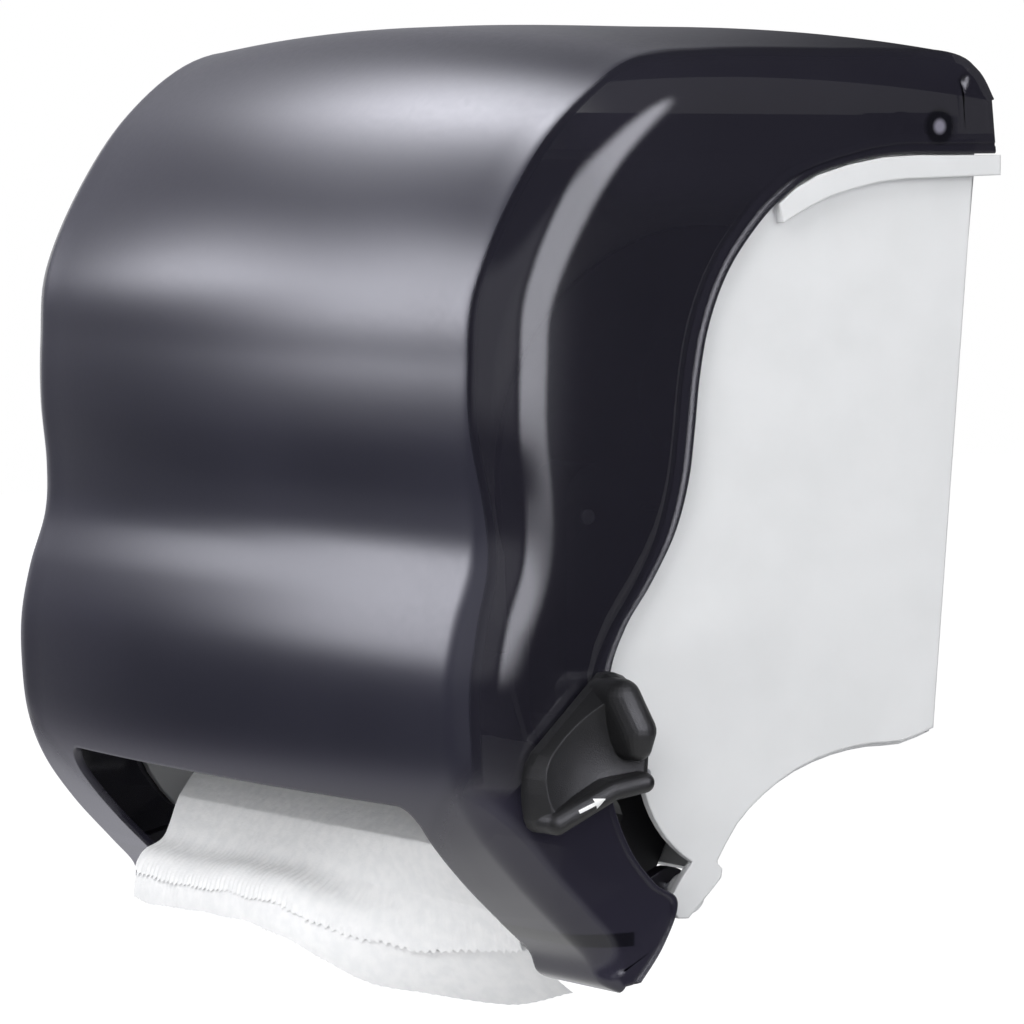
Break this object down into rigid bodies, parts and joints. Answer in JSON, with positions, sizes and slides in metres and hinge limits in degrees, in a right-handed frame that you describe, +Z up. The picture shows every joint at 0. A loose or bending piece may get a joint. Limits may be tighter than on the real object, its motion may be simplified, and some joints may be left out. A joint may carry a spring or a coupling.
{
  "type": "lever paper towel dispenser",
  "caption": "Wall-mounted roll towel dispenser: white base, smoked drop-down cover with a wavy front, side lever with sector gear, feed rollers, roll hubs and torn towel at the mouth.",
  "frame": {"origin": "centre of the four wall screws, on the wall", "axes": "+X right as seen from the front, -Y out of the wall into the room, +Z up"},
  "size_m": [0.3554, 0.2265, 0.3273],
  "materials": {
    "white_plastic": "smooth moulded, satin",
    "smoked_plastic": "smoked translucent, frosted on the front panel, polished at the corners",
    "black_plastic": "fine grained",
    "paddle_plastic": "fine grained",
    "steel": "zinc plated",
    "rubber": "matt",
    "gear_plastic": "moulded acetal",
    "cardboard": "grey-brown board",
    "paper": "soft creped tissue paper"
  },
  "bodies": {
    "root": {"base_housing": "white_plastic", "hinge_pins": "steel", "cheek_left": "black_plastic", "cheek_right": "black_plastic", "tie_bar": "black_plastic", "paper_chute": "black_plastic", "tear_bar": "steel", "tear_bar_screws": "steel", "gear_case": "black_plastic", "gear_case_screws": "steel", "chassis_screws": "steel", "shaft_bushes": "gear_plastic", "pressure_springs": "steel", "pivot_pin": "steel", "return_spring": "steel", "lever_stop": "rubber", "hub_left": "black_plastic", "hub_spring": "steel", "spring_cup": "black_plastic", "towel_sheet": "paper", "latch_springs": "steel"},
    "cover": {"cover_shell": "smoked_plastic"},
    "feed_roller": {"feed_shaft": "steel", "feed_grips": "rubber", "feed_pinion": "gear_plastic"},
    "pressure": {"pressure_roller": "black_plastic"},
    "lever": {"lever_arm": "black_plastic", "sector_gear": "gear_plastic", "lever_paddle": "paddle_plastic", "paddle_screws": "steel"},
    "hub": {"hub_right": "black_plastic"},
    "roll": {"roll_core": "cardboard", "paper_roll": "paper"},
    "latch_l": {"latch_left": "steel"},
    "latch_r": {"latch_right": "steel"}
  },
  "joints": [
    {"name": "cover_hinge", "type": "hinge", "parent": "root", "child": "cover", "pos_m": [0, -0.126, -0.138], "axis": [1, 0, 0], "range_deg": [0, 100]},
    {"name": "lever_push", "type": "hinge", "parent": "root", "child": "lever", "pos_m": [0, -0.105, -0.09], "axis": [1, 0, 0], "range_deg": [0, 42], "stiffness_Nm_per_rad": 0.5, "springref_deg": -20.05},
    {"name": "feed_spin", "type": "hinge", "parent": "root", "child": "feed_roller", "pos_m": [0, -0.14071, -0.077], "axis": [1, 0, 0], "range_deg": [-160, 10]},
    {"name": "pressure_spin", "type": "hinge", "parent": "root", "child": "pressure", "pos_m": [0, -0.11651, -0.077], "axis": [1, 0, 0], "range_deg": [-10, 300]},
    {"name": "roll_spin", "type": "hinge", "parent": "root", "child": "roll", "pos_m": [0, -0.088, 0.03], "axis": [1, 0, 0], "range_deg": [-5, 35]},
    {"name": "hub_slide", "type": "slide", "parent": "root", "child": "hub", "axis": [1, 0, 0], "range_m": [0, 0.012], "stiffness_N_per_m": 400, "springref_m": -0.01, "deforming": ["hub_spring"]},
    {"name": "latch_press_left", "type": "slide", "parent": "root", "child": "latch_l", "axis": [1, 0, 0], "range_m": [0, 0.004], "stiffness_N_per_m": 300, "springref_m": -0.004, "deforming": ["latch_springs"]},
    {"name": "latch_press_right", "type": "slide", "parent": "root", "child": "latch_r", "axis": [-1, 0, 0], "range_m": [0, 0.004], "stiffness_N_per_m": 300, "springref_m": -0.004, "deforming": ["latch_springs"]}
  ],
  "couplings": [
    {"joint": "feed_spin", "follows": "lever_push", "ratio": -3.75},
    {"joint": "pressure_spin", "follows": "lever_push", "ratio": 7.0312},
    {"joint": "roll_spin", "follows": "lever_push", "ratio": 0.70312}
  ]
}
